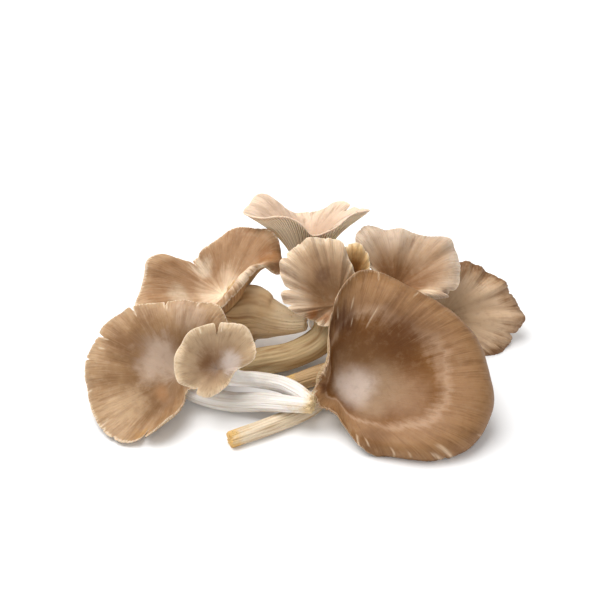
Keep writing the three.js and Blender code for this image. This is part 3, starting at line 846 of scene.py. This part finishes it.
class Wiring:
    """Adds nodes to a material and joins them up."""

    def __init__(self, name):
        """A new material with only its shader."""
        self.material = bpy.data.materials.new(name)
        self.material.use_nodes = True
        self.tree = self.material.node_tree
        self.shader = self.tree.nodes["Principled BSDF"]

    def put(self, socket, value):
        """Joins a node's output to a socket, or sets the socket to a plain value."""
        if isinstance(value, bpy.types.NodeSocket):
            self.tree.links.new(value, socket)
        else:
            socket.default_value = value

    def add(self, kind, inputs=None, **settings):
        """A node, with its settings made first and its inputs after."""
        node = self.tree.nodes.new(kind)
        for key, value in settings.items():
            setattr(node, key, value)
        for key, value in (inputs or {}).items():
            self.put(node.inputs[key], value)
        return node

    def attribute(self, name, output="Fac"):
        """A value that the mesh holds at each point."""
        return self.add("ShaderNodeAttribute", attribute_name=name).outputs[output]

    def between(self, value, low, high, to_low=0.0, to_high=1.0):
        """Value from low to high made to_low to to_high, smoothly and no further."""
        ends = {"Value": value, "From Min": low, "From Max": high, "To Min": to_low, "To Max": to_high}
        return self.add("ShaderNodeMapRange", ends, interpolation_type="SMOOTHSTEP").outputs["Result"]

    def math(self, operation, first, second=0.0):
        """Sum, product or the like of two numbers."""
        return self.add("ShaderNodeMath", {0: first, 1: second}, operation=operation).outputs[0]

    def mix(self, share, first, second):
        """The first colour with a share of the second. The node's sockets for colours come after those for
        numbers and vectors."""
        node = self.add("ShaderNodeMix", {0: share, 6: first, 7: second}, data_type="RGBA")
        return node.outputs[2]

    def noise(self, vector, scale, detail=3.0, roughness=0.55):
        """A random field, mostly between 0.3 and 0.7."""
        inputs = {"Vector": vector, "Scale": scale, "Detail": detail, "Roughness": roughness}
        return self.add("ShaderNodeTexNoise", inputs).outputs["Fac"]

    def ramp(self, value, stops):
        """A colour by value, from stops of place and colour. A new stop starts halfway and is then moved."""
        node = self.add("ShaderNodeValToRGB", {"Fac": value})
        elements = node.color_ramp.elements
        while len(elements) < len(stops):
            elements.new(0.5)
        for element, (place, colour) in zip(elements, stops):
            element.position = place
            element.color = opaque(colour)
        return node.outputs["Color"]

    def stretched(self, vector, across, lengthwise):
        """The fibre direction, scaled round the cap and along its reach."""
        scale = {"Vector": vector, "Scale": (across, across, lengthwise)}
        return self.add("ShaderNodeMapping", scale).outputs["Vector"]


def shade(colour, factor):
    """A colour made darker."""
    return tuple(channel * factor for channel in colour)


def opaque(colour):
    """A colour with its fourth channel full."""
    return (*colour, 1.0)


def flesh_noises(w, look):
    """Noises that the colours share: two in object space, and two read along the fibres."""
    position = w.add("ShaderNodeTexCoord").outputs["Object"]
    fibre = w.attribute("fibre", "Vector")
    fine = w.stretched(fibre, look["streaks"], FINE_STREAK_LENGTH)
    broad = w.stretched(fibre, look["streaks"] / FINE_A_BROAD, BROAD_STREAK_LENGTH)
    return {
        "position": position,
        "fibre": fibre,
        "blotches": w.noise(position, *BLOTCH_NOISE),
        "mottle": w.noise(position, *MOTTLE_NOISE),
        "fine": w.noise(fine, *STREAK_NOISE),
        "broad": w.noise(broad, *STREAK_NOISE),
    }


def with_spots_and_painted_light(w, shape, look, noises, outer, skin):
    """Skin with its patches of colour, some the cap's own and some painted highlight, painted shade or
    painted shadow. Each is a ball round a point of the upper face, its edge made ragged by blotches
    and, on the outer cap, drawn out by streaks."""
    for angle, distance, radius, colour, strength in look["spots_and_painted_light"]:
        middle = cap_point(shape, angle, distance)
        size = radius * MILLIMETRE
        ragged, rays = look["ragged"] * size, SPOT_RAYS * size
        apart = w.add("ShaderNodeVectorMath", {0: noises["position"], 1: middle}, operation="DISTANCE")
        blurred = w.math("ADD", apart.outputs["Value"],
                         w.between(noises["blotches"], *WIDE, -ragged, ragged))
        drawn = w.math("MULTIPLY", w.between(noises["broad"], *WIDE, -rays, rays), outer)
        edge = w.math("ADD", blurred, drawn)
        share = w.between(edge, SPOT_OUTSIDE * size, SPOT_INSIDE * size, 0, strength)
        skin = w.mix(share, skin, opaque(colour))
    return skin


def skin_colour(w, shape, look, noises):
    """Upper face: rings of colour that follow the tone, patches of colour (some of them painted highlights,
    painted shade or painted shadow), then dark bands, streaks, painted shade in the furrows, mottling,
    cracks and the rim, one over the other."""
    place = w.attribute("place")
    blotches, mottle, fine, broad = (noises[key] for key in ("blotches", "mottle", "fine", "broad"))
    outer = w.between(place, *OUTER)
    drift, streak_drift = look["drift"], STREAK_DRIFT * look["drift"]
    uneven = w.math("ADD", w.between(blotches, *WIDE, -drift, drift),
                    w.between(broad, *WIDE, -streak_drift, streak_drift))
    skin = w.ramp(w.math("ADD", w.attribute("tone"), uneven), look["skin"])
    # patches of colour, some the cap's own and some painted highlight, painted shade or painted shadow
    skin = with_spots_and_painted_light(w, shape, look, noises, outer, skin)
    edge = w.math("ADD", place, w.between(fine, *RIM_RAGGED))
    layers = [
        (w.math("MULTIPLY", w.between(broad, *DARK_BANDS), outer), "dark"),
        (w.math("MULTIPLY", w.between(fine, *PALE_STREAKS, 0, look["streaky"]), outer), "light"),
        (w.math("MULTIPLY", w.between(fine, *DARK_STREAKS), outer), "dark"),
        # painted shade: the furrows of the relief are darkened as if shade lay in them
        (w.between(w.attribute("relief"), *GROOVE_SHADE, 0, look["groove_shade"]), "dark"),
        (w.between(mottle, *PALE_MOTTLE), "light"),
        (w.between(mottle, *DARK_MOTTLE), "dark"),
        (w.math("MULTIPLY", w.attribute("scar"), w.between(fine, *SCAR_STREAKS)), "rim"),
        (w.between(edge, *RIM, 0, look["rim_strength"]), "rim"),
    ]
    for share, key in layers:
        skin = w.mix(share, skin, opaque(look[key]))
    return skin


def gill_colour(w, look, noises):
    """Gills with pale edges and shaded bottoms, and darker patches."""
    sides = w.between(w.attribute("relief"), *GILL_SIDES)
    gills = w.mix(sides, opaque(look["gill_shade"]), opaque(look["gill"]))
    patch = opaque(shade(look["gill"], GILL_PATCH_SHADE))
    return w.mix(w.between(noises["blotches"], *GILL_PATCHES), gills, patch)


def stem_colour(w, look, noises):
    """Stem with long fibres and shaded patches, and a stain with specks at its cut end."""
    shaded = opaque(look["stem_shade"])
    grain = w.noise(w.stretched(noises["fibre"], *GRAIN_STRETCH), *GRAIN_NOISE)
    stem = w.mix(w.between(grain, *GRAIN), opaque(look["stem"]), shaded)
    stem = w.mix(w.between(noises["blotches"], *STEM_PATCHES), stem, shaded)
    near_end = w.math("ADD", w.attribute("place"), w.between(noises["blotches"], *FOOT_RAGGED))
    foot = w.between(near_end, look["foot_from"], FOOT_WHOLE, 0, look["foot_strength"])
    stem = w.mix(foot, stem, opaque(look["foot"]))
    specks = w.between(w.noise(noises["position"], *SPECK_NOISE), *SPECKS)
    return w.mix(w.math("MULTIPLY", specks, foot), stem, opaque(look["specks"]))


def mushroom_material(name, shape, look):
    """Skin with radial fibres on top, gills below, and a fibrous stem with a stained cut end. The place
    attribute says which of the three a point belongs to."""
    w = Wiring(name)
    noises = flesh_noises(w, look)
    place = w.attribute("place")
    skin, gills = skin_colour(w, shape, look, noises), gill_colour(w, look, noises)
    colour = w.mix(w.between(place, *RIM_TO_GILLS), skin, gills)
    colour = w.mix(w.between(place, *GILLS_TO_STEM), colour, stem_colour(w, look, noises))
    w.put(w.shader.inputs["Base Color"], colour)
    w.put(w.shader.inputs["Roughness"], w.between(noises["fine"], *WIDE, *ROUGHNESS))
    for socket, value in FLESH.items():
        w.shader.inputs[socket].default_value = value
    height = w.math("ADD", w.math("MULTIPLY", noises["fine"], STREAK_HEIGHT),
                    w.math("MULTIPLY", noises["mottle"], MOTTLE_HEIGHT))
    bump = w.add("ShaderNodeBump", {"Height": height, **BUMP})
    w.put(w.shader.inputs["Normal"], bump.outputs["Normal"])
    return w.material


FLOOR_GRAIN = 4.0
FLOOR_COLOURS = ((0.93, 0.93, 0.93), (0.95, 0.95, 0.95))
FLOOR_ROUGHNESS = 0.9
FLOOR_REACH = 6.0


def plain_floor():
    """A wide pale floor for the heap to lie on."""
    w = Wiring("floor")
    grain = w.noise(w.add("ShaderNodeTexCoord").outputs["Object"], FLOOR_GRAIN)
    w.put(w.shader.inputs["Base Color"], w.mix(grain, *map(opaque, FLOOR_COLOURS)))
    w.shader.inputs["Roughness"].default_value = FLOOR_ROUGHNESS
    mesh = bpy.data.meshes.new("floor")
    low, high = -FLOOR_REACH, FLOOR_REACH
    corners = [(low, low, 0), (high, low, 0), (high, high, 0), (low, high, 0)]
    mesh.from_pydata(corners, [], [(0, 1, 2, 3)])
    mesh.materials.append(w.material)
    floor = bpy.data.objects.new("floor", mesh)
    bpy.context.scene.collection.objects.link(floor)
    return floor


def aimed(thing, place, target):
    """Puts a camera or a light at a place, looking at the target."""
    item = bpy.data.objects.new(thing.name, thing)
    item.location = place
    item.rotation_euler = (Vector(target) - Vector(place)).to_track_quat("-Z", "Y").to_euler()
    bpy.context.scene.collection.objects.link(item)
    return item


def soft_light(name, place, power, width):
    """A square lamp of a width, looking at the middle of the heap."""
    lamp = bpy.data.lights.new(name, "AREA")
    lamp.energy = power
    lamp.size = width
    return aimed(lamp, place, HEAP_CENTRE)


# Looks: the skin's colours by tone, and patches of colour as angle, distance out, radius, colour and
# strength, some of them the cap's own colour and some painted highlight, painted shade or painted shadow.
# Drift is how far blotches shift the rings of colour, ragged how far they shift a spot's edge as a share of
# its radius, foot_from the place on the stem where the stain begins, and the groove strength how much
# painted shade the furrows get.
BASE_LOOK = {
    "skin": [(0.0, (0.46, 0.33, 0.23)), (0.2, (0.33, 0.205, 0.115)), (0.45, (0.27, 0.15, 0.07)),
             (0.7, (0.36, 0.215, 0.11)), (0.9, (0.45, 0.295, 0.17)), (1.0, (0.5, 0.355, 0.22))],
    "dark": (0.17, 0.078, 0.03),
    "light": (0.52, 0.365, 0.235),
    "streaky": 0.3,
    "groove_shade": 0.25,
    "rim": (0.75, 0.61, 0.45),
    "rim_strength": 0.65,
    "gill": (0.62, 0.46, 0.28),
    "gill_shade": (0.32, 0.175, 0.07),
    "stem": (0.82, 0.77, 0.7),
    "stem_shade": (0.62, 0.53, 0.43),
    "foot": (0.64, 0.42, 0.15),
    "foot_from": 2.82,
    "foot_strength": 0.75,
    "specks": (0.16, 0.07, 0.015),
    "streaks": 45.0,
    "drift": 0.09,
    "ragged": 0.3,
    "spots_and_painted_light": [],
}
LARGE_LOOK = BASE_LOOK | {
    "skin": [(0.0, (0.4, 0.28, 0.2)), (0.12, (0.27, 0.15, 0.073)), (0.3, (0.18, 0.083, 0.029)),
             (0.46, (0.155, 0.058, 0.012)), (0.54, (0.2, 0.085, 0.024)), (0.615, (0.42, 0.26, 0.155)),
             (0.67, (0.31, 0.166, 0.078)), (0.8, (0.3, 0.158, 0.068)), (0.94, (0.26, 0.13, 0.05)),
             (1.0, (0.19, 0.088, 0.028))],
    "dark": (0.11, 0.04, 0.011),
    "light": (0.42, 0.265, 0.15),
    "rim": (0.72, 0.54, 0.37),
    "rim_strength": 0.3,
    "streaks": 70.0,
    "drift": 0.03,
    "ragged": 0.12,
    "stem": (0.74, 0.62, 0.46),
    "stem_shade": (0.44, 0.29, 0.15),
    "foot": (0.66, 0.38, 0.08),
    # The dark patches at 38, 91 and 106 degrees, on the upper inner wall of the bowl, are partly the cap's
    # own dark zone and partly painted shade.
    "spots_and_painted_light": [(38, 41, 19, (0.11, 0.038, 0.008), 0.85), (91, 33, 10, (0.085, 0.026, 0.005), 0.85),
              (106, 24, 7, (0.085, 0.026, 0.005), 0.8), (300, 34, 9, (0.14, 0.055, 0.015), 0.6),
              (325, 20, 10, (0.42, 0.27, 0.16), 0.6), (351, 33, 15, (0.36, 0.21, 0.115), 0.7),
              (358, 20, 15, (0.4, 0.265, 0.16), 0.6), (358, 9, 12, (0.68, 0.54, 0.45), 0.9),
              (188, 8, 4.5, (0.13, 0.045, 0.012), 0.9)],
}
LEFT_LOOK = BASE_LOOK | {
    "skin": [(0.0, (0.46, 0.33, 0.23)), (0.2, (0.32, 0.19, 0.1)), (0.45, (0.24, 0.128, 0.056)),
             (0.7, (0.31, 0.178, 0.084)), (0.9, (0.4, 0.25, 0.135)), (1.0, (0.46, 0.31, 0.18))],
    "stem": (0.82, 0.78, 0.73),
    "stem_shade": (0.6, 0.52, 0.44),
    "spots_and_painted_light": [(134, 12, 15, (0.56, 0.42, 0.32), 0.85), (149, 28, 11, (0.18, 0.085, 0.034), 0.65),
              (118, 33, 8, (0.2, 0.095, 0.04), 0.5), (182, 33, 8, (0.2, 0.1, 0.042), 0.5),
              (226, 11, 5, (0.42, 0.22, 0.1), 0.8), (80, 30, 12, (0.5, 0.35, 0.24), 0.7),
              (215, 30, 13, (0.62, 0.43, 0.26), 0.7), (243, 36, 6, (0.42, 0.235, 0.085), 0.7)],
}
YOUNG_LOOK = BASE_LOOK | {
    "skin": [(0.0, (0.42, 0.31, 0.24)), (0.3, (0.3, 0.18, 0.1)), (0.6, (0.4, 0.27, 0.16)),
             (0.9, (0.47, 0.33, 0.2)), (1.0, (0.66, 0.5, 0.33))],
    "streaky": 0.12,
    "groove_shade": 0.1,
    "stem": (0.84, 0.8, 0.76),
    "stem_shade": (0.66, 0.59, 0.52),
    # The dark patch at 135 degrees, in the deep groove near the middle, is partly the funnel's darker middle
    # and partly painted shade.
    "spots_and_painted_light": [(135, 7, 6.5, (0.16, 0.068, 0.022), 0.85), (20, 9, 7, (0.58, 0.48, 0.42), 0.9)],
}
# Cream of the rolled lip: partly its own pale colour, partly painted highlight on its rounded top.
PALE_LIP_AND_HIGHLIGHT = (0.78, 0.6, 0.43)
FOLDED_LOOK = BASE_LOOK | {
    "skin": [(0.0, (0.88, 0.74, 0.55)), (0.25, (0.68, 0.5, 0.34)), (0.48, (0.4, 0.235, 0.125)),
             (0.85, (0.36, 0.2, 0.098)), (1.0, (0.46, 0.29, 0.16))],
    "stem": (0.62, 0.42, 0.22),
    "stem_shade": (0.3, 0.14, 0.045),
    "foot": (0.78, 0.64, 0.44),
    "foot_from": 2.2,
    "foot_strength": 0.75,
    "specks": (0.5, 0.33, 0.16),
    "gill": (0.56, 0.33, 0.16),
    "gill_shade": (0.34, 0.16, 0.06),
    # The pale patches at 139 and 200 degrees, along the valley, are partly pale skin and partly painted
    # highlight.
    "spots_and_painted_light": [(139, 16, 8, (0.76, 0.62, 0.46), 0.8), (200, 22, 8, (0.72, 0.58, 0.42), 0.6),
              (72, 38, 9, (0.24, 0.115, 0.05), 0.6), (285, 18, 5.5, PALE_LIP_AND_HIGHLIGHT, 0.9),
              (310, 22, 5.5, PALE_LIP_AND_HIGHLIGHT, 0.95), (335, 24, 5.5, PALE_LIP_AND_HIGHLIGHT, 0.95),
              (355, 26, 5.5, PALE_LIP_AND_HIGHLIGHT, 0.95), (8, 27, 5, PALE_LIP_AND_HIGHLIGHT, 0.95),
              (25, 30, 7, (0.26, 0.105, 0.03), 0.75)],
}
FUNNEL_LOOK = BASE_LOOK | {
    "skin": [(0.0, (0.48, 0.32, 0.21)), (0.5, (0.6, 0.43, 0.31)), (1.0, (0.78, 0.61, 0.46))],
    "gill": (0.95, 0.8, 0.6),
    "gill_shade": (0.36, 0.23, 0.13),
    "rim": (0.78, 0.62, 0.47),
    "spots_and_painted_light": [(318, 24, 6, (0.16, 0.055, 0.016), 0.75)],
}
CENTRE_LOOK = BASE_LOOK | {
    "skin": [(0.0, (0.3, 0.165, 0.08)), (0.3, (0.26, 0.14, 0.064)), (0.6, (0.38, 0.23, 0.125)),
             (0.88, (0.54, 0.38, 0.24)), (1.0, (0.7, 0.54, 0.38))],
    "dark": (0.17, 0.08, 0.036),
    "groove_shade": 0.4,
    "stem": (0.54, 0.4, 0.22),
    "stem_shade": (0.27, 0.145, 0.05),
    "foot_strength": 0.1,
    "spots_and_painted_light": [(178, 23, 9, (0.62, 0.48, 0.35), 0.75), (150, 28, 9, (0.62, 0.48, 0.35), 0.7),
              (117, 16, 6, (0.17, 0.085, 0.045), 0.7), (208, 14, 4, (0.34, 0.12, 0.025), 0.8),
              (236, 9, 4, (0.3, 0.1, 0.02), 0.7)],
}
BACK_RIGHT_LOOK = BASE_LOOK | {
    # The near-black middle of this ramp is partly the cap's own dark centre and partly painted shade.
    "skin": [(0.0, (0.15, 0.058, 0.016)), (0.3, (0.26, 0.125, 0.05)), (0.6, (0.44, 0.28, 0.165)),
             (0.85, (0.52, 0.385, 0.275)), (1.0, (0.7, 0.56, 0.43))],
    # The pale patch at 337 degrees, 21 out, is a painted highlight on top of the curled knob; the brown one
    # 34 out is painted shade under it, and the near-black one at 347 degrees a painted shadow in the notch.
    "spots_and_painted_light": [(95, 26, 9, (0.6, 0.46, 0.35), 0.6), (337, 21, 7, (0.76, 0.6, 0.42), 0.9),
              (337, 34, 5, (0.28, 0.13, 0.045), 0.75), (347, 29, 3, (0.05, 0.015, 0.005), 0.9)],
}
FAR_RIGHT_LOOK = BASE_LOOK | {
    "skin": [(0.0, (0.3, 0.17, 0.085)), (0.35, (0.48, 0.32, 0.19)), (0.72, (0.56, 0.39, 0.25)),
             (0.88, (0.4, 0.25, 0.14)), (1.0, (0.2, 0.1, 0.042))],
    "groove_shade": 0.35,
    "rim_strength": 0.12,
    "stem": (0.5, 0.34, 0.18),
    "stem_shade": (0.26, 0.14, 0.06),
    "foot_from": 2.94,
}
SMALL_LOOK = BASE_LOOK | {
    # The dark middle of this ramp is partly the small cap's rusty colour and partly painted shade, where it
    # falls away below its pale top rim.
    "skin": [(0.0, (0.2, 0.07, 0.015)), (0.5, (0.36, 0.16, 0.045)), (0.8, (0.68, 0.44, 0.2)),
             (1.0, (0.85, 0.66, 0.4))],
    "dark": (0.14, 0.045, 0.01),
    "light": (0.55, 0.34, 0.15),
    "streaks": 20.0,
}

# Fine detail of each shape. Splits are angle, depth and half width in degrees. Scars are angle, the shares
# of the reach where they start and end, and half width. The rings of colour lean to an angle, by a share.
PLAIN = {"nick_depth": 0.6, "splits": [], "scars": [], "lean": [0, 0]}
LARGE |= PLAIN | {
    "columns": 640, "seed": 11, "swell": 0.45, "folds": 23, "furrow": 0.05, "nicks": 90,
    "splits": [[324, 9, 1.5], [318, 5, 1.1], [340, 2.5, 0.6], [357, 2, 0.6], [14, 2, 0.6], [97, 3, 1.5],
               [104, 3, 2]],
    "scars": [[63, 0.46, 0.66, 0.5], [80, 0.66, 0.8, 0.5], [91, 0.72, 0.9, 0.5], [79, 0.5, 0.6, 0.4],
              [70, 0.86, 1.1, 0.4], [50, 0.78, 0.9, 0.3], [306, 0.74, 0.96, 0.5], [288, 0.8, 1.1, 0.8],
              [293, 0.74, 0.9, 0.6], [313, 0.76, 0.88, 0.4], [327, 0.72, 1.1, 0.9],
              [322, 0.78, 1.1, 0.7], [8, 0.9, 1.1, 0.3], [15, 0.92, 1.1, 0.3], [340, 0.82, 0.94, 0.3],
              [94, 0.92, 1.1, 1.5], [100, 0.9, 1.1, 1.8], [106, 0.88, 1.1, 2], [113, 0.8, 1.1, 2.5],
              [121, 0.8, 1.1, 2.5], [130, 0.78, 1.1, 3], [140, 0.8, 1.1, 3], [150, 0.78, 1.1, 3.5]],
    "lean": [300, 0.15],
}
LEFT |= PLAIN | {
    "columns": 480, "seed": 21, "swell": 0.6, "folds": 17, "furrow": 0.1, "nicks": 60, "nick_depth": 0.7,
    "splits": [[153, 5, 0.8], [124, 4.5, 0.7], [99, 3.5, 0.7], [246, 6, 0.9], [170, 2.5, 0.6]],
    "scars": [[97, 0.84, 1.1, 0.7], [101, 0.86, 1.1, 0.6], [124, 0.84, 1.1, 0.8], [72, 0.88, 1.1, 0.8],
              [153, 0.85, 1.1, 0.7], [190, 0.9, 1.1, 0.6], [160, 0.8, 0.92, 0.5], [215, 0.86, 1.1, 0.7]],
}
YOUNG |= PLAIN | {
    "columns": 320, "seed": 31, "swell": 0.5, "folds": 11, "furrow": 0.05, "nicks": 8, "nick_depth": 0.4,
    "splits": [[87, 6, 2.2], [228, 2.5, 3]],
    "scars": [[112, 0.84, 1.1, 1.2], [80, 0.8, 1.1, 1.2]],
}
CENTRE |= PLAIN | {
    "columns": 420, "seed": 41, "swell": 0.7, "folds": 19, "furrow": 0.2, "nicks": 30, "nick_depth": 0.8,
    "splits": [[164, 3, 1.5], [138, 2, 1.5], [183, 2.5, 1.5]],
}
FOLDED |= PLAIN | {
    "columns": 480, "seed": 51, "swell": 0.6, "folds": 15, "furrow": 0.08, "nicks": 30,
    "splits": [[139, 3, 1.2]],
}
FUNNEL |= PLAIN | {
    "columns": 400, "seed": 61, "swell": 0.6, "folds": 13, "furrow": 0.08, "nicks": 20,
    "splits": [[10, 4, 1.5]],
}
BACK_RIGHT |= PLAIN | {
    "columns": 440, "seed": 71, "swell": 0.6, "folds": 15, "furrow": 0.12, "nicks": 30,
    "splits": [[352, 2, 1]],
}
FAR_RIGHT |= PLAIN | {
    "columns": 400, "seed": 81, "swell": 0.7, "folds": 14, "furrow": 0.22, "nicks": 30, "nick_depth": 0.7,
    "splits": [[348, 5, 1.2], [20, 2, 0.8]],
}
SMALL |= PLAIN | {
    "columns": 200, "seed": 91, "swell": 0.5, "folds": 9, "furrow": 0.15, "nicks": 14, "nick_depth": 0.8,
}

MUSHROOMS = [
    ("large_mushroom", "large_cap", [(LARGE, LARGE_LOOK)]),
    ("twin_mushrooms", "twin_caps", [(LEFT, LEFT_LOOK), (YOUNG, YOUNG_LOOK)]),
    ("folded_mushroom", "folded_cap", [(FOLDED, FOLDED_LOOK)]),
    ("funnel_mushroom", "funnel_cap", [(FUNNEL, FUNNEL_LOOK)]),
    ("centre_mushroom", "centre_cap", [(CENTRE, CENTRE_LOOK)]),
    ("back_right_mushroom", "back_right_cap", [(BACK_RIGHT, BACK_RIGHT_LOOK)]),
    ("far_right_mushroom", "far_right_cap", [(FAR_RIGHT, FAR_RIGHT_LOOK)]),
    ("small_mushroom", "small_cap", [(SMALL, SMALL_LOOK)]),
]

for node_name, slot_name, mushrooms in MUSHROOMS:
    piece = mushroom_piece(node_name + "_flesh", mushrooms)
    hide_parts(node_name)
    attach(piece, "root")

plain_floor()

# Light and camera
WORLD_STRENGTH = 0.46
world = bpy.data.worlds.new("studio")
bpy.context.scene.world = world
world.use_nodes = True
world.node_tree.nodes["Background"].inputs["Color"].default_value = (1, 1, 1, 1)
world.node_tree.nodes["Background"].inputs["Strength"].default_value = WORLD_STRENGTH
soft_light("key", place=(-0.3, 0.15, 0.9), power=12.0, width=0.9)
soft_light("fill", place=(0.1, -0.9, 0.5), power=2.2, width=0.9)

CAMERA_HEIGHT = 38  # degrees above the floor
CAMERA_DISTANCE = 0.7083
CAMERA_LENS = 85
CAMERA_TARGET = (-5.2 * MILLIMETRE, 19.5 * MILLIMETRE, 28.6 * MILLIMETRE)
lift = np.radians(CAMERA_HEIGHT)
camera_place = Vector(CAMERA_TARGET) + CAMERA_DISTANCE * Vector((0, -np.cos(lift), np.sin(lift)))
lens = bpy.data.cameras.new("camera")
lens.lens = CAMERA_LENS
bpy.context.scene.camera = aimed(lens, camera_place, CAMERA_TARGET)
bpy.context.scene.view_settings.view_transform = "Standard"
